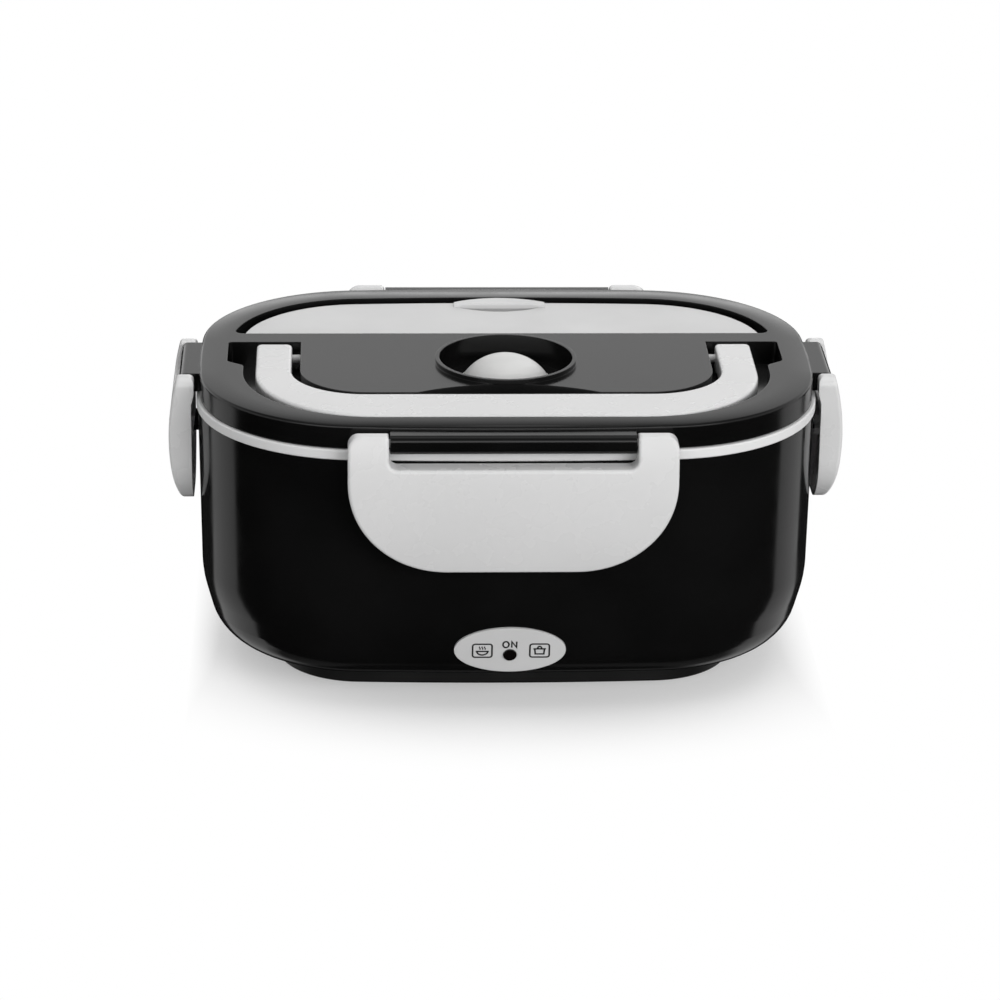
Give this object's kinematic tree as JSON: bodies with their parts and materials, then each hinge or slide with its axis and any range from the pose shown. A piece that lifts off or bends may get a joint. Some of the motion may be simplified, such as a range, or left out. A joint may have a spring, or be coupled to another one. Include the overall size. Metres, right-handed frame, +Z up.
{
  "type": "electric food warmer",
  "caption": "Portable lunch box that warms food: bowed rounded shell with a steel pan, a lift-off lid held by swinging latches, a folding handle, a hinged cutlery cover and a vent plug.",
  "frame": {"origin": "on the table, under the middle of the box", "axes": "+X to the right seen from the front, where the mains inlet is, +Y to the rear, +Z up; the indicator oval is on the -Y side"},
  "size_m": [0.2406, 0.1724, 0.1108],
  "materials": {
    "shell_black": "polished black moulding",
    "lid_black": "satin-gloss black moulding",
    "base_black": "fine-grained black moulding",
    "band_grey": "smooth light grey moulding",
    "latch_grey": "smooth light grey moulding",
    "cover_grey": "smooth light grey moulding",
    "oval_grey": "light grey printed plate",
    "panel_plastic": "smooth pale moulding",
    "tub_plastic": "plain dark moulding",
    "insulator": "moulded phenolic",
    "board_green": "coated board",
    "lens_dark": "smoked clear moulding",
    "aluminium": "rolled sheet and extrusion",
    "zinc_steel": "zinc-plated",
    "pan_steel": "brushed inside, drawn sheet",
    "pin_brass": "plain brass",
    "rubber": "matt rubber",
    "silicone": "pale translucent silicone"
  },
  "bodies": {
    "base": {"outer_shell": "shell_black", "collar_ring": "band_grey", "inner_liner": "tub_plastic", "heat_plate": "aluminium", "ptc_heater": "aluminium", "heater_bracket": "zinc_steel", "bracket_screws": "zinc_steel", "thermostat": "insulator", "thermal_fuse": "zinc_steel", "base_cover": "base_black", "base_screws": "zinc_steel", "rubber_feet": "rubber", "inlet_socket": "base_black", "inlet_pins": "pin_brass", "indicator_plate": "oval_grey", "lamp_lens": "lens_dark", "lamp_board": "board_green"},
    "container": {"food_container": "pan_steel"},
    "lid": {"lid_shell": "lid_black", "lid_liner": "panel_plastic", "lid_gasket": "silicone"},
    "handle": {"handle": "latch_grey"},
    "cutlery_cover": {"cutlery_cover": "cover_grey"},
    "vent_plug": {"vent_plug": "silicone"},
    "latch_front": {"latch_front": "latch_grey"},
    "latch_right": {"latch_right": "latch_grey"},
    "latch_rear": {"latch_rear": "latch_grey"},
    "latch_left": {"latch_left": "latch_grey"}
  },
  "joints": [
    {"name": "container_lift", "type": "slide", "parent": "base", "child": "container", "axis": [0, 0, 1], "range_m": [0, 0.075]},
    {"name": "lid_lift", "type": "slide", "parent": "container", "child": "lid", "axis": [0, 0, 1], "range_m": [0, 0.06]},
    {"name": "handle_swing", "type": "hinge", "parent": "lid", "child": "handle", "pos_m": [0, 0.0077, 0.1042], "axis": [-1, 0, 0], "range_deg": [0, 90]},
    {"name": "cover_swing", "type": "hinge", "parent": "lid", "child": "cutlery_cover", "pos_m": [0, 0.0248, 0.1065], "axis": [1, 0, 0], "range_deg": [0, 90]},
    {"name": "vent_pull", "type": "slide", "parent": "lid", "child": "vent_plug", "axis": [0, 0, 1], "range_m": [0, 0.006]},
    {"name": "latch_front_swing", "type": "hinge", "parent": "lid", "child": "latch_front", "pos_m": [0, -0.0795, 0.1042], "axis": [-1, 0, 0], "range_deg": [-1.8, 95]},
    {"name": "latch_right_swing", "type": "hinge", "parent": "lid", "child": "latch_right", "pos_m": [0.1136, 0, 0.1042], "axis": [0, -1, 0], "range_deg": [-1.8, 95]},
    {"name": "latch_rear_swing", "type": "hinge", "parent": "lid", "child": "latch_rear", "pos_m": [0, 0.0795, 0.1042], "axis": [1, 0, 0], "range_deg": [-1.8, 95]},
    {"name": "latch_left_swing", "type": "hinge", "parent": "lid", "child": "latch_left", "pos_m": [-0.1136, 0, 0.1042], "axis": [0, 1, 0], "range_deg": [-1.8, 95]}
  ]
}
